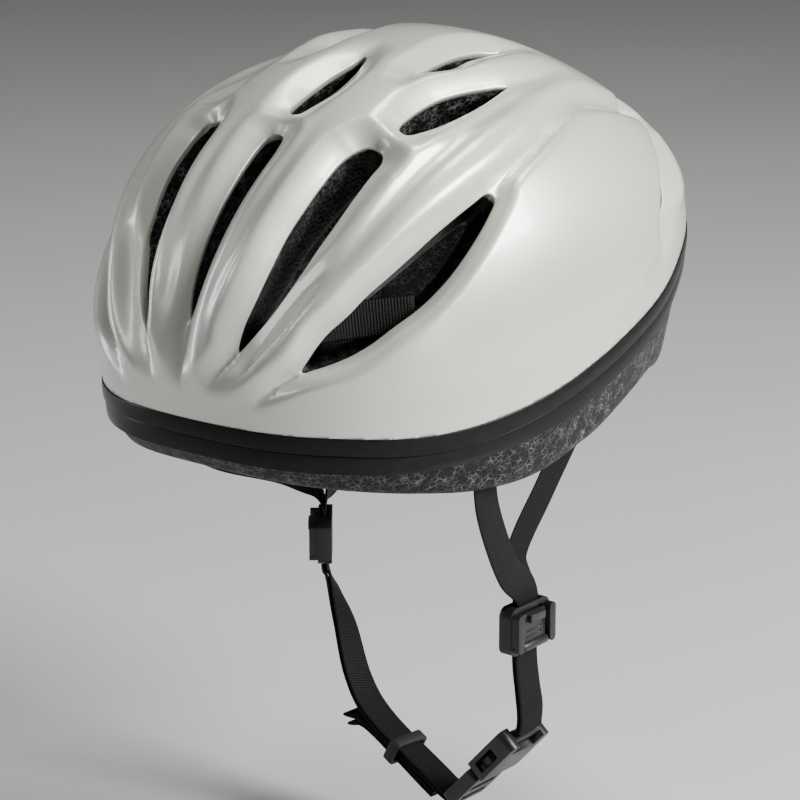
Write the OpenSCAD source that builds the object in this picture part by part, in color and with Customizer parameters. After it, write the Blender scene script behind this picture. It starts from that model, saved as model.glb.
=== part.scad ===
// Cycling helmet: vented foam liner under a thin moulded shell, with a two-step
// rim tape, fit pads, a rear dial fit band, webbing straps, cam dividers and a
// side-release chin buckle.
// +Z is up, the front faces -Y and the wearer's left is +X.
// The origin is the centre of the head opening, where the head seats.

/* [Helmet] */
// Half of the width over the shell
half_width = 104; // [98:1:110]
// Half of the length over the shell
half_length = 139; // [132:1:146]
// Height of the crown above the widest level
crown_rise = 93; // [88:1:98]
// Height of the widest level above the head opening
widest_z = 55; // [50:1:58]
// Rise of the widest level towards the rear, per millimetre of length
lean = 0.09; // [0.05:0.01:0.12]
// Exponent of the outline seen from above, 2 is an ellipse
plan_power = 2.2; // [2.0:0.1:2.4]

/* [Walls] */
// Thickness of the outer shell
shell_t = 1.1; // [0.8:0.1:1.4]
// Foam thickness at the sides
liner_side = 25; // [22:1:27]
// Foam thickness at the front and the back
liner_end = 27; // [24:1:29]
// Foam thickness at the crown
liner_top = 29; // [26:1:31]
// Height of the ribs over the base dome
rib_rise = 2.5; // [1:0.5:3.5]
// Depth of the channels below the ribs
channel_depth = 7; // [4:0.5:8]
// Extra fullness of the front shoulders, taken off the rear ones
front_fill = 6.5; // [0:0.5:7]
// Extra fullness of the side shoulders, taken off the front and rear ones
side_fill = 4; // [0:0.5:4.5]
// Extra height of the crown
top_fill = 3; // [0:0.5:4]

/* [Straps] */
// Width of the webbing
web_w = 15; // [13:0.5:15.5]
// Thickness of the webbing
web_t = 1.3; // [1:0.1:1.4]

/* [Chin buckle] */
// Tilt of the buckle from level
buckle_tilt = 48; // [46:1:50]

/* [Rear fit dial] */
// Teeth on the dial's pinion
pinion_teeth = 8; // [8:1:8]
// Radius of the dial knob
dial_r = 13; // [11:1:13]

/* [Hidden] */

black = [0.06, 0.06, 0.07];
charcoal = [0.2, 0.2, 0.22];
foam_grey = [0.14, 0.14, 0.15];
glue_gap = 0.1;
tape_step = 4.5;
// Keeps the walls upright from the widest level down to this one
low_fill = 110;
lowest_fill = -24;
columns = 60;
levels = 15;
highest_level = 86;

// Upper edge of the rim tape: direction from the front, then level on the dome
rim_levels = [[0, -12], [30, -14.2], [57, -17.2], [70, -16.6], [85, -14], [97, -10],
    [110, -6], [125, 0], [150, 0], [180, -1]];
// Lower edge of the foam: direction from the front, then height
foot_heights = [[0, -1], [30, -5], [50, -9], [65, -12], [80, -11], [92, -4],
    [105, 5], [117, 9], [132, 4], [150, -4], [180, -8]];
foot_out = 0.9;
foot_in = 0.79;

// Each vent is a row of stations: direction from the front, level on the dome and
// half of the opening's width. A half width of 0 is a channel in the shell only.
brow_centre = [[0, -5, 0], [0, 4, 0], [0, 11.5, 1], [0, 18, 2.8], [0, 30, 4.2], [0, 42, 5],
    [0, 51, 5.4], [0, 54.5, 4.8]];
crown_centre = [[0, 62.5, 4.8], [0, 69, 6.2], [0, 75, 5.4], [0, 79, 3], [0, 86, 0]];
rear_centre = [[180, 54, 4], [180, 42, 7], [180, 28, 4], [180, 16, 0]];
brow_side = [[6, -4, 0], [9, 1, 0], [12, 5.5, 1], [14, 10.5, 3.6], [17, 17, 5.4],
    [20, 24.5, 6.8], [23, 32, 7.7], [26, 37.5, 8], [29, 42.5, 8], [33, 48, 7.8],
    [36.5, 50.5, 6.8]];
temple = [[16, -7, 0], [21.5, -2.5, 0], [27, 1.5, 1.5], [33, 6.5, 6.4], [38.5, 10.5, 8],
    [43, 14.5, 8.9], [48.5, 18.5, 9.4], [54, 23, 8.9], [58, 26.5, 7.9], [63, 30.5, 6],
    [69, 35, 3.2], [75, 39, 0], [88, 43.5, 0], [104, 47, 0]];
crown_side = [[49.5, 56, 4.5], [56.5, 58, 6.3], [66.5, 60, 7], [76.5, 60.5, 5.8],
    [86, 60.5, 3.4], [92, 60, 1], [104, 58.5, 0], [124, 56, 0]];
top_side = [[50, 70, 0], [60, 73, 1.5], [81, 74, 4.1], [98, 74.5, 3.8], [116, 72.5, 3.2],
    [126, 70, 1.5], [140, 64, 0]];
rear_side = [[150, 47, 0], [144, 39, 2.5], [137, 31, 4.6], [128, 23, 5], [119, 15.5, 4.5],
    [112, 10, 2.2], [107, 4, 0]];
rear_back = [[164, 57, 3], [163, 49, 5.5], [161, 39, 6.5], [159, 27, 4], [157, 14, 0]];
middle_vents = [brow_centre, crown_centre, rear_centre];
paired_vents = [brow_side, temple, crown_side, top_side, rear_side, rear_back];

function signed_power(v, e) = sign(v) * pow(abs(v), e);
function around(az) = [signed_power(sin(az), 2 / plan_power),
    -signed_power(cos(az), 2 / plan_power)];
function rim_level(az) = lookup(abs(az), rim_levels);
function foot_z(az) = lookup(abs(az), foot_heights);
function wrapped(az) = az > 180 ? az - 360 : az;

// Distances on the skin, measured in a flattened map of it in millimetres
function flat(az, up) = [2.1 * az * cos(up), 1.8 * up];
channel_width = 8;
fade_levels = 14;
function segment_distance(p, a, b) = let (d = b - a,
    t = max(0, min(1, (p - a) * d / (d * d)))) norm(p - a - t * d);
function station_distance(p, s) = min([for (i = [0 : len(s) - 2])
    segment_distance(p, flat(s[i][0], s[i][1]), flat(s[i + 1][0], s[i + 1][1]))]);
function channel(az, up) = let (p = flat(abs(az), up),
    near = min([for (s = concat(middle_vents, paired_vents)) station_distance(p, s)]))
    exp(-pow(near / channel_width, 2));
function fade(az, up) = let (t = max(0, min(1, (up - rim_level(az)) / fade_levels)))
    t * t * (3 - 2 * t);
function form(az, up) = pow(max(0, sin(2 * up)), 2)
    * (front_fill * cos(az) - side_fill * cos(2 * az))
    + top_fill * pow(max(0, sin(up)), 4)
    + low_fill * (1 - cos(min(0, max(lowest_fill, up))));
function relief(az, up) = form(az, up)
    + fade(az, up) * (rib_rise - channel_depth * channel(az, up));

// A point of the outer skin, moved out by off
function dome(az, up, dx, dy, dz) = let (r = around(az),
    y = (half_length + dy) * r[1] * cos(up))
    [(half_width + dx) * r[0] * cos(up), y,
    widest_z + lean * y + (crown_rise + dz) * sin(up)];
function skin(az, up, off = 0) = let (o = off + relief(az, up)) dome(az, up, o, o, o);
// A point of the foam's inner surface, moved into the head space by off
function cavity(az, up, off = 0) =
    dome(az, up, -liner_side - off, -liner_end - off, -liner_top - off);
function foot(az, k) = let (r = around(az)) [half_width * k * r[0],
    half_length * k * r[1], foot_z(az)];

function ring_az(i) = wrapped(360 * i / columns);
function level_up(az, low, j) = low + (highest_level - low) * j / (levels - 1);

// A closed cap between an outer and an inner stack of rings, each with its apex
module cap(outer, outer_top, inner, inner_top) {
    n = columns;
    a = len(outer);
    b = len(inner);
    apex_a = a * n;
    base_b = a * n + 1;
    apex_b = base_b + b * n;
    points = concat([for (r = outer) each r], [outer_top], [for (r = inner) each r],
        [inner_top]);
    faces = concat(
        [for (j = [0 : a - 2], i = [0 : n - 1]) let (k = (i + 1) % n) each
            [[j * n + i, (j + 1) * n + i, (j + 1) * n + k],
             [j * n + i, (j + 1) * n + k, j * n + k]]],
        [for (i = [0 : n - 1]) [(a - 1) * n + i, apex_a, (a - 1) * n + (i + 1) % n]],
        [for (j = [0 : b - 2], i = [0 : n - 1]) let (k = (i + 1) % n) each
            [[base_b + j * n + i, base_b + (j + 1) * n + k, base_b + (j + 1) * n + i],
             [base_b + j * n + i, base_b + j * n + k, base_b + (j + 1) * n + k]]],
        [for (i = [0 : n - 1])
            [base_b + (b - 1) * n + i, base_b + (b - 1) * n + (i + 1) % n, apex_b]],
        [for (i = [0 : n - 1]) let (k = (i + 1) % n) each
            [[i, k, base_b + k], [i, base_b + k, base_b + i]]]);
    polyhedron(points, faces, convexity = 8);
}

// A closed loop whose cross-section is the four-sided ring given at each column
module loop_solid(sections) {
    n = len(sections);
    m = len(sections[0]);
    points = [for (s = sections) each s];
    faces = [for (i = [0 : n - 1], j = [0 : m - 1]) let (k = (i + 1) % n, l = (j + 1) % m)
        each [[i * m + j, k * m + l, k * m + j], [i * m + j, i * m + l, k * m + l]]];
    polyhedron(points, faces, convexity = 8);
}

// An open sweep with both ends closed, from the sections along it
module sweep_solid(sections) {
    n = len(sections);
    m = len(sections[0]);
    points = [for (s = sections) each s];
    faces = concat(
        [[for (j = [0 : m - 1]) j]],
        [[for (j = [m - 1 : -1 : 0]) (n - 1) * m + j]],
        [for (i = [0 : n - 2], j = [0 : m - 1]) let (l = (j + 1) % m)
            each [[i * m + j, (i + 1) * m + j, (i + 1) * m + l],
                [i * m + j, (i + 1) * m + l, i * m + l]]]);
    polyhedron(points, faces, convexity = 8);
}

// Flat webbing or band along stations of [point, outward direction]
function unit(v) = v / norm(v);
function travel(route, i) = let (n = len(route))
    unit(route[min(i + 1, n - 1)][0] - route[max(i - 1, 0)][0]);
function ribbon_section(route, i, w, t, lift) = let (
    along = travel(route, i),
    side = unit(cross(route[i][1], along)),
    out = cross(along, side),
    p = route[i][0])
    [p + side * w / 2 + out * (lift + t / 2), p - side * w / 2 + out * (lift + t / 2),
     p - side * w / 2 + out * (lift - t / 2), p + side * w / 2 + out * (lift - t / 2)];
module ribbon(route, w, t, lift = 0) {
    sweep_solid([for (i = [0 : len(route) - 1]) ribbon_section(route, i, w, t, lift)]);
}

cut_out = 10;
cut_in = -46;
cut_taper = 0.75;
module vent_cutter(stations) {
    cut = [for (s = stations) if (s[2] > 0) s];
    for (i = [0 : len(cut) - 2])
        hull()
            for (s = [cut[i], cut[i + 1]]) {
                translate(skin(s[0], s[1], cut_out)) sphere(r = s[2], $fn = 14);
                translate(skin(s[0], s[1], cut_in)) sphere(r = cut_taper * s[2], $fn = 14);
            }
}

module vent_cutters() {
    for (s = middle_vents) vent_cutter(s);
    for (s = paired_vents) {
        vent_cutter(s);
        mirror([1, 0, 0]) vent_cutter(s);
    }
}

module outer_shell() {
    color("white") union() difference() {
        cap([for (j = [0 : levels - 1]) [for (i = [0 : columns - 1]) let (az = ring_az(i))
                skin(az, level_up(az, rim_level(az), j))]],
            skin(0, 90),
            [for (j = [0 : levels - 1]) [for (i = [0 : columns - 1]) let (az = ring_az(i))
                skin(az, level_up(az, rim_level(az), j), -shell_t)]],
            skin(0, 90, -shell_t));
        vent_cutters();
    }
}

// Room left in the foam round the webbing, across its width and through its
// thickness, and round the anchors
slot_gap = [2, 2.4];
vent_web_gap = [1, 1.5];
anchor_r = 3;
anchor_gap = 1;
anchor_length = web_w + 6;
low_level = -10;
bond_depth = 3;
module foam_liner() {
    inner_levels = levels - 4;
    color(foam_grey) union() difference() {
        cap(concat(
                [[for (i = [0 : columns - 1]) foot(ring_az(i), foot_out)]],
                [[for (i = [0 : columns - 1]) let (az = ring_az(i))
                    skin(az, rim_level(az) - 2 * tape_step, -bond_depth)]],
                [for (j = [0 : levels - 1]) [for (i = [0 : columns - 1])
                    let (az = ring_az(i))
                    skin(az, level_up(az, rim_level(az), j), -shell_t - glue_gap)]]),
            skin(0, 90, -shell_t - glue_gap),
            concat(
                [[for (i = [0 : columns - 1]) foot(ring_az(i), foot_in)]],
                [for (j = [0 : inner_levels]) [for (i = [0 : columns - 1])
                    cavity(ring_az(i), low_level + (highest_level - low_level) * j
                        / inner_levels)]]),
            cavity(0, 90));
        vent_cutters();
        for (side = [1, -1]) scale([side, 1, 1]) {
            ribbon(front_slot, web_w + slot_gap[0], web_t + slot_gap[1]);
            ribbon(rear_slot, web_w + slot_gap[0], web_t + slot_gap[1]);
            ribbon(vent_web_route, web_w + vent_web_gap[0], web_t + vent_web_gap[1]);
            for (p = anchor_places) translate(p) rotate([90, 0, 0])
                cylinder(h = anchor_length + 2, r = anchor_r + anchor_gap, center = true,
                    $fn = 24);
        }
        yoke_slot();
    }
}

// Rim tape in two steps, the upper one standing proud of the lower one
tape_edge = 0.2;
upper_proud = 0.5;
lower_proud = -0.2;
module tape_ring(top_drop, bottom_drop, proud) {
    loop_solid([for (i = [0 : columns - 1]) let (az = ring_az(i), u = rim_level(az))
        [skin(az, u - top_drop, proud), skin(az, u - top_drop, -shell_t),
         skin(az, u - bottom_drop, -shell_t), skin(az, u - bottom_drop, proud)]]);
}

module rim_tape_upper() {
    color(charcoal) tape_ring(tape_edge, tape_step - tape_edge, upper_proud);
}

module rim_tape_lower() {
    color(charcoal) tape_ring(tape_step, 2 * tape_step - 1, lower_proud);
}

// Fit pads: patches that lie on the foam's inner surface
pad_gap = 2.8;
pad_t = 6;
pad_end = 0.35;
module pad_patch(az_from, az_to, up_from, up_to, n = 8) {
    sweep_solid([for (i = [0 : n]) let (az = az_from + (az_to - az_from) * i / n,
        mid = (up_from + up_to) / 2,
        h = (up_to - up_from) / 2 * (i == 0 || i == n ? pad_end : 1))
        [cavity(az, mid + h, pad_gap), cavity(az, mid - h, pad_gap),
         cavity(az, mid - h, pad_gap + pad_t), cavity(az, mid + h, pad_gap + pad_t)]]);
}

module brow_pad() {
    color(black) pad_patch(-52, 52, -10, 6, 14);
}

crown_pad_x = [11, 26];
crown_pad_y = [-48 : 11 : 40];
module crown_pad_left() {
    color(black) sweep_solid([for (y = crown_pad_y)
        [for (q = [[crown_pad_x[0], 0], [crown_pad_x[1], 0], [crown_pad_x[1], pad_t],
            [crown_pad_x[0], pad_t]])
            let (drop = pad_gap + q[1],
                a = half_width - liner_side - drop, b = half_length - liner_end - drop,
                c = crown_rise - liner_top - drop)
            [q[0], y, widest_z + lean * y
                + c * sqrt(1 - pow(q[0] / a, 2) - pow(y / b, 2))]]]);
}

module crown_pad_right() {
    mirror([1, 0, 0]) crown_pad_left();
}

side_pad = [68, 96, 14, 34];
module side_pad_left() {
    color(black) pad_patch(side_pad[0], side_pad[1], side_pad[2], side_pad[3]);
}

module side_pad_right() {
    mirror([1, 0, 0]) side_pad_left();
}

rear_pad = [128, 160, 2, 20];
module rear_pad_left() {
    color(black) pad_patch(rear_pad[0], rear_pad[1], rear_pad[2], rear_pad[3]);
}

module rear_pad_right() {
    mirror([1, 0, 0]) rear_pad_left();
}

// Hook discs that hold the pads: direction and level of each
dot_places = [[0, -2], [38, -2], [-38, -2], [82, 24], [-82, 24], [144, 11], [-144, 11],
    [45, 68], [-45, 68], [135, 70], [-135, 70]];
dot_gap = 1.7;
dot_r = 6.5;
dot_t = 0.6;
module hook_dots() {
    color(charcoal) for (d = dot_places) {
        base = cavity(d[0], d[1], dot_gap);
        inward = unit(cavity(d[0], d[1], 10) - base);
        translate(base) rotate([0, acos(inward[2]), atan2(inward[1], inward[0])])
            cylinder(h = dot_t, r = dot_r, $fn = 40);
    }
}

// Straps. Stations are [point, outward direction].
divider_left = [70, -4, -88];
divider_right = [-62, 26, -84];
right_twist = 38;
anchor_places = [[82, -50, 20], [80, 38, 32]];
front_slot = [[[82, -50, 26], [1, 0, 0]], [[82, -50, -24], [1, 0, 0]]];
rear_slot = [[[82, 39, 38], [1, 0, 0]], [[77, 35, 12], [1, 0, 0]],
    [[72, 30, -8], [1, 0, 0]]];
vent_web_route = [[skin(28, 13, -10), [0.6, -0.8, 0.2]],
    [skin(38, 12, -9), [0.7, -0.7, 0.2]], [skin(49, 11, -10), [0.8, -0.6, 0.2]]];
// Half of the distance between the middles of two layers of webbing
layer = 0.85;
outer_tail_lift = 4.8;
inner_tail_lift = 3.1;

left_front_top = [[[82, -50, 15], [1, 0, 0]], [[82, -50, -10], [1, 0, 0]],
    [[81, -45, -28], [1, 0, 0]], [[76, -26, -56], [1, 0, 0]]];
left_rear_top = [[[80.3, 37.5, 26], [1, 0, 0]], [[76, 34, 8], [1, 0, 0]],
    [[72, 28, -8], [1, 0, 0]], [[70, 10, -32], [1, 0, 0]], [[69, -8, -56], [1, 0, 0]]];
left_chin = [[[70, -4, -75], [1, 0, 0]], [[70, -4, -101], [1, 0, 0]],
    [[70, -2, -115], [1, 0, 0]], [[69.5, 1, -128], [0.9, 0, -0.3]],
    [[68.1, 2, -136.9], [0.74, 0, -0.67]]];
right_out = [-cos(right_twist), -sin(right_twist), 0];
right_front_top = [[[-82, -50, 15], [-1, 0, 0]], [[-82, -50, -16], [-1, 0, 0]],
    [[-79, -26, -36], [-1, 0, 0]], [[-69, 12, -52], [-1, -0.2, 0]]];
right_rear_top = [[[-80.3, 37.5, 26], [-1, 0, 0]], [[-76, 34, 8], [-1, 0, 0]],
    [[-73, 42, -10], [-1, 0, 0]], [[-70, 58, -38], [-1, 0, 0]],
    [[-66, 46, -55], [-1, -0.4, 0]]];
right_chin = [[[-62, 26, -67], right_out], [[-62, 26, -97], right_out],
    [[-57, 25, -106], [-0.8, -0.5, -0.2]], [[-46, 20, -120], [-0.8, -0.2, -0.5]],
    [[-32, 12, -140], [-0.8, 0, -0.6]], [[-15, 6, -153], [-0.4, 0, -0.9]],
    [[17, 3, -170], [-0.4, 0, -0.9]], [[25, 2.4, -174.3], [-0.3, 0, -0.95]],
    [[31, 2, -176.6], [0.5, 0, -0.85]]];

module strap(top_route, chin_route, lift) {
    color(black) ribbon(concat(top_route, chin_route), web_w, web_t, lift);
}

module left_front_strap() { strap(left_front_top, left_chin, layer); }
module left_rear_strap() { strap(left_rear_top, left_chin, -layer); }
module right_front_strap() { strap(right_front_top, right_chin, layer); }
module right_rear_strap() { strap(right_rear_top, right_chin, -layer); }

module vent_webbing_left() {
    color(black) ribbon(vent_web_route, web_w, web_t);
}

module vent_webbing_right() {
    mirror([1, 0, 0]) vent_webbing_left();
}

module strap_anchors() {
    color(charcoal) for (side = [1, -1], p = anchor_places)
        translate([side * p[0], p[1], p[2]]) rotate([90, 0, 0])
            cylinder(h = anchor_length, r = anchor_r, center = true, $fn = 24);
}

// Webbing tails, folded back under the chin strap and through the keeper
tail_route = [[[24, 2.5, -173.8], [-0.3, 0, -0.95]], [[17, 3, -170], [-0.4, 0, -0.9]],
    [[-15, 6, -153], [-0.4, 0, -0.9]]];
module strap_tail_outer() {
    color(black) ribbon(concat(tail_route, [[[-28, 7, -153], [-0.2, 0, -1]]]),
        web_w, web_t, outer_tail_lift);
}
module strap_tail_inner() {
    color(black) ribbon(concat(tail_route, [[[-30, 7, -151], [-0.2, 0, -1]]]),
        web_w, web_t, inner_tail_lift);
}

// Rubber ring round the chin strap and the tails
keeper_w = 5;
keeper_size = [web_w + 5, 12];
keeper_hole = [web_w + 1.2, 8.2];
keeper_lift = 2;
module strap_keeper() {
    from = tail_route[2][0];
    to = tail_route[1][0];
    along = unit(to - from);
    side = unit(cross(tail_route[1][1], along));
    out = cross(along, side);
    centre = (to + from) / 2 + out * keeper_lift;
    frame = [[along[0], side[0], out[0], centre[0]], [along[1], side[1], out[1], centre[1]],
        [along[2], side[2], out[2], centre[2]], [0, 0, 0, 1]];
    color(black) multmatrix(frame) rotate([90, 0, 90]) 
        translate([0, 0, -keeper_w / 2]) linear_extrude(keeper_w) difference() {
            rounded(keeper_size, 3);
            rounded(keeper_hole, 1.5);
        }
}

module rounded(size, r) {
    for (x = [-1, 1], y = [-1, 1]) translate([x * (size[0] / 2 - r), y * (size[1] / 2 - r)])
        circle(r = r, $fn = 32);
    square([size[0] - 2 * r, size[1]], center = true);
    square([size[0], size[1] - 2 * r], center = true);
}

// Strap divider, drawn with its outer face towards +X and its slot along Z
divider_size = [27, 21];
divider_back = -3.4;
divider_face = 2.8;
wing_size = [4, 17];
wing_y = 11;
wing_t = 3.8;
divider_slot = [3.9, web_w + 2, 30];
pocket_floor = 1.8;
pin_x = 4.6;
pin_z = -7;
pin_r = 1.2;
pin_gap = 0.06;
module divider_body() {
    difference() {
        union() {
            translate([divider_back, 0, 0]) rotate([90, 0, 90])
                linear_extrude(divider_face - divider_back) rounded(divider_size, 4);
            for (side = [-1, 1]) translate([divider_face, side * wing_y, 0])
                rotate([90, 0, 90]) linear_extrude(wing_t) rounded(wing_size, 1.9);
        }
        cube(divider_slot, center = true);
        translate([pocket_floor, -8.6, -10]) cube([6, 17.2, 18]);
        translate([pin_x, 0, pin_z]) rotate([90, 0, 0])
            cylinder(h = 40, r = pin_r + pin_gap, center = true, $fn = 32);
    }
}

lever_size = [2, 16.4, 14];
lever_back = 2.6;
lever_knuckle_r = 2;
pin_length = 25.6;
tab_size = [2.6, 10, 3.4];
tab_z = 3.6;
grip_size = [2, 11, 1.2];
grip_levels = [-3.5, -1];
module divider_lever() {
    difference() {
        union() {
            translate([lever_back, -lever_size[1] / 2, -lever_size[2] / 2]) cube(lever_size);
            translate([pin_x, -tab_size[1] / 2, tab_z]) cube(tab_size);
            translate([pin_x, 0, pin_z]) rotate([90, 0, 0])
                cylinder(h = lever_size[1], r = lever_knuckle_r, center = true, $fn = 32);
            translate([pin_x, 0, pin_z]) rotate([90, 0, 0])
                cylinder(h = pin_length, r = pin_r, center = true, $fn = 32);
        }
        for (z = grip_levels) translate([4, -grip_size[1] / 2, z]) cube(grip_size);
    }
}

module place_left_divider() { translate(divider_left) children(); }
module place_right_divider() {
    translate(divider_right) rotate([0, 0, 180 + right_twist]) children();
}
module left_divider() { color(black) place_left_divider() divider_body(); }
module left_divider_lever() { color(charcoal) place_left_divider() divider_lever(); }
module right_divider() { color(black) place_right_divider() divider_body(); }
module right_divider_lever() { color(charcoal) place_right_divider() divider_lever(); }

// Chin buckle, drawn with the male half entering along +X and its width along Y
buckle_centre = [50, 2, -157];
module place_buckle() {
    translate(buckle_centre) rotate([0, -buckle_tilt, 0]) children();
}

module buckle_block(x_from, x_to, half_w, half_t, r) {
    translate([(x_from + x_to) / 2, 0, -half_t]) linear_extrude(2 * half_t)
        rounded([x_to - x_from, 2 * half_w], r);
}

slot_size = [3.6, 16.8, 12];
female_span = [-2, 25];
female_half = [13.6, 4.8];
socket_size = [19, 23.6, 5.2];
window_size = [12, 4, 5.2];
relief_size = [5, 16.8, 4];
module buckle_female() {
    color(black) place_buckle() difference() {
        buckle_block(female_span[0], female_span[1], female_half[0], female_half[1], 3);
        translate([female_span[0] - 1, -socket_size[1] / 2, -socket_size[2] / 2])
            cube(socket_size);
        for (side = [-1, 1]) translate([9, side * 13, 0]) cube(window_size, center = true);
        translate([17.6, -slot_size[1] / 2, -slot_size[2] / 2]) cube(slot_size);
        for (z = [2, -6]) translate([21.2, -relief_size[1] / 2, z]) cube(relief_size);
    }
}

male_span = [-25, -2.6];
male_half = [12, 3.2];
guide_size = [15, 3.6, 3.6];
prong_seat = [6, 5, 4.4];
module buckle_male() {
    color(black) place_buckle() difference() {
        union() {
            buckle_block(male_span[0], male_span[1], male_half[0], male_half[1], 3);
            translate([-4, -guide_size[1] / 2, -guide_size[2] / 2]) cube(guide_size);
        }
        for (x = [-22, -14]) translate([x, -slot_size[1] / 2, -slot_size[2] / 2])
            cube(slot_size);
        for (side = [-1, 1]) translate([-5.4, side * prong_hinge[1], 0])
            cube(prong_seat, center = true);
    }
}

// Prong of the male half: barrel at its hinge, springy stem and the release shoulder
prong_hinge = [-5, 6.2];
prong_t = 3.8;
barrel_r = 1.6;
stem_size = [13, 2.4, prong_t];
shoulder = [[3.6, 5.4], [4.4, 11], [9, 11], [13.6, 6.8], [13.6, 5.3], [7, 5.3]];
module buckle_prong(side) {
    color(charcoal) place_buckle() scale([1, side, 1]) translate([0, 0, -prong_t / 2])
        union() {
            translate(prong_hinge) cylinder(h = prong_t, r = barrel_r, $fn = 32);
            translate([prong_hinge[0], 5, 0]) cube(stem_size);
            linear_extrude(prong_t) polygon(shoulder);
        }
}
module buckle_prong_front() { buckle_prong(-1); }
module buckle_prong_rear() { buckle_prong(1); }

// Rear fit: yoke from the liner, cradle with rack guides, bands, pinion and dial
fit_centre = [0, 104, -22];
pitch_r = pinion_teeth / 2;
rack_pitch = PI;
hub_r = 3;
hub_gap = 0.06;
module fit_frame() { translate(fit_centre) children(); }

yoke_size = [16, 3, 38];
yoke_place = [-8, 108.6, -13.7];
yoke_gap = 0.7;
yoke_hole_r = 2;
module yoke_slot() {
    translate(yoke_place - [1, yoke_gap, 0.3]) cube(yoke_size + [2, 2 * yoke_gap, 2]);
}

module fit_yoke() {
    color(black) difference() {
        translate(yoke_place) cube(yoke_size);
        for (z = [0, 10]) translate([0, 108, z]) rotate([-90, 0, 0])
            cylinder(h = 5, r = yoke_hole_r, $fn = 32);
    }
}

cradle_size = [48, 27];
cradle_t = 9;
cradle_front = -2;
yoke_seat = [16.6, 4, 8];
guide_slot = [60, 3.4, 5];
guide_levels = [2.6, -7.6];
pinion_room = 1.6;
module fit_cradle() {
    color(black) fit_frame() difference() {
        translate([0, cradle_front, 0]) rotate([-90, 0, 0]) linear_extrude(cradle_t)
            rounded(cradle_size, 7);
        translate([-yoke_seat[0] / 2, 4.3, 8]) cube(yoke_seat);
        for (z = guide_levels) translate([-guide_slot[0] / 2, 0, z]) cube(guide_slot);
        translate([0, 5.5, 0]) rotate([90, 0, 0])
            cylinder(h = 6, r = pitch_r + pinion_room, $fn = 40);
        translate([0, 10, 0]) rotate([90, 0, 0])
            cylinder(h = 6, r = hub_r + hub_gap, $fn = 40);
    }
}

cradle_pad_t = 4;
cradle_pad_size = [44, 23];
module fit_cradle_pad() {
    color(charcoal) fit_frame() translate([0, cradle_front - 0.3, 0]) rotate([90, 0, 0])
        linear_extrude(cradle_pad_t) rounded(cradle_pad_size, 6);
}

gear_t = 2.8;
gear_y = 3.1;
rack_span = [-20, 36];
rack_base = 5.1;
rack_h = 2.2;
rack_tooth = [[-0.95, 5.2], [-0.4, 3.2], [0.4, 3.2], [0.95, 5.2]];
module rack(level) {
    translate([0, gear_y, 0]) rotate([90, 0, 0]) linear_extrude(gear_t) scale([1, level])
        union() {
            translate([rack_span[0], rack_base]) square([rack_span[1] - rack_span[0], rack_h]);
            for (i = [-5 : 5]) translate([i * rack_pitch, 0]) polygon(rack_tooth);
        }
}

// Arm of a fit band, from the rack forward and up inside the foam. The places are
// from the dial's axis with the share of the rise there, and drop is the height at
// which the rack leaves the cradle.
arm_places = [[34, 1.7, 0], [41, -7, 0.1], [49, -21, 0.5], [55, -37, 1]];
arm_w = 7;
arm_t = 1.8;
arm_rise = 34;
arm_drop = 6.2;
module fit_arm(drop) {
    far = len(arm_places) - 1;
    fit_frame() ribbon([for (i = [0 : far]) let (p = arm_places[i])
        [[p[0], p[1], drop + (arm_rise - drop) * p[2]], [0.1 + i / far, 1, 0]]],
        arm_w, arm_t);
}

module fit_band_left() {
    color(black) union() {
        fit_frame() rack(1);
        fit_arm(arm_drop);
    }
}

module fit_band_right() {
    color(black) mirror([1, 0, 0]) union() {
        fit_frame() rack(-1);
        fit_arm(-arm_drop);
    }
}

tooth_top = 0.7;
hub_length = 5.2;
module fit_pinion() {
    color(charcoal) fit_frame() translate([0, gear_y, 0]) rotate([90, 0, 0]) union() {
        linear_extrude(gear_t) union() {
            circle(r = pitch_r - 1, $fn = 40);
            for (i = [0 : pinion_teeth - 1]) rotate(360 * (i + 0.5) / pinion_teeth)
                polygon([[-0.9, 2], [-0.75, pitch_r], [-0.35, pitch_r + tooth_top],
                    [0.35, pitch_r + tooth_top], [0.75, pitch_r], [0.9, 2]]);
        }
        translate([0, 0, 0.2 - hub_length]) cylinder(h = hub_length, r = hub_r, $fn = 40);
    }
}

dial_t = 8;
dial_y = 8.1;
dial_grips = 18;
dial_dish = 2;
dial_rim = 4;
module fit_dial() {
    color(charcoal) fit_frame() translate([0, dial_y, 0]) rotate([-90, 0, 0]) difference() {
        linear_extrude(dial_t) difference() {
            circle(r = dial_r, $fn = 60);
            for (i = [0 : dial_grips - 1]) rotate(360 / dial_grips * i)
                translate([dial_r, 0]) circle(r = 1, $fn = 16);
        }
        translate([0, 0, dial_t - dial_dish])
            cylinder(h = dial_dish + 1, r = dial_r - dial_rim, $fn = 60);
    }
}

outer_shell();
foam_liner();
rim_tape_upper();
rim_tape_lower();
brow_pad();
crown_pad_left();
crown_pad_right();
side_pad_left();
side_pad_right();
rear_pad_left();
rear_pad_right();
hook_dots();
strap_anchors();
vent_webbing_left();
vent_webbing_right();
left_front_strap();
left_rear_strap();
right_front_strap();
right_rear_strap();
left_divider();
left_divider_lever();
right_divider();
right_divider_lever();
strap_tail_outer();
strap_tail_inner();
strap_keeper();
buckle_female();
buckle_male();
buckle_prong_front();
buckle_prong_rear();
fit_yoke();
fit_cradle();
fit_cradle_pad();
fit_band_left();
fit_band_right();
fit_pinion();
fit_dial();
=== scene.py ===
"""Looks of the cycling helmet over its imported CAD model. Shapes are worked out in
millimetres in the CAD frame and written to meshes in metres."""

import math

import bmesh
import bpy
import numpy as np
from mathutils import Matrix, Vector
from mathutils.geometry import delaunay_2d_cdt
from mathutils.kdtree import KDTree


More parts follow.
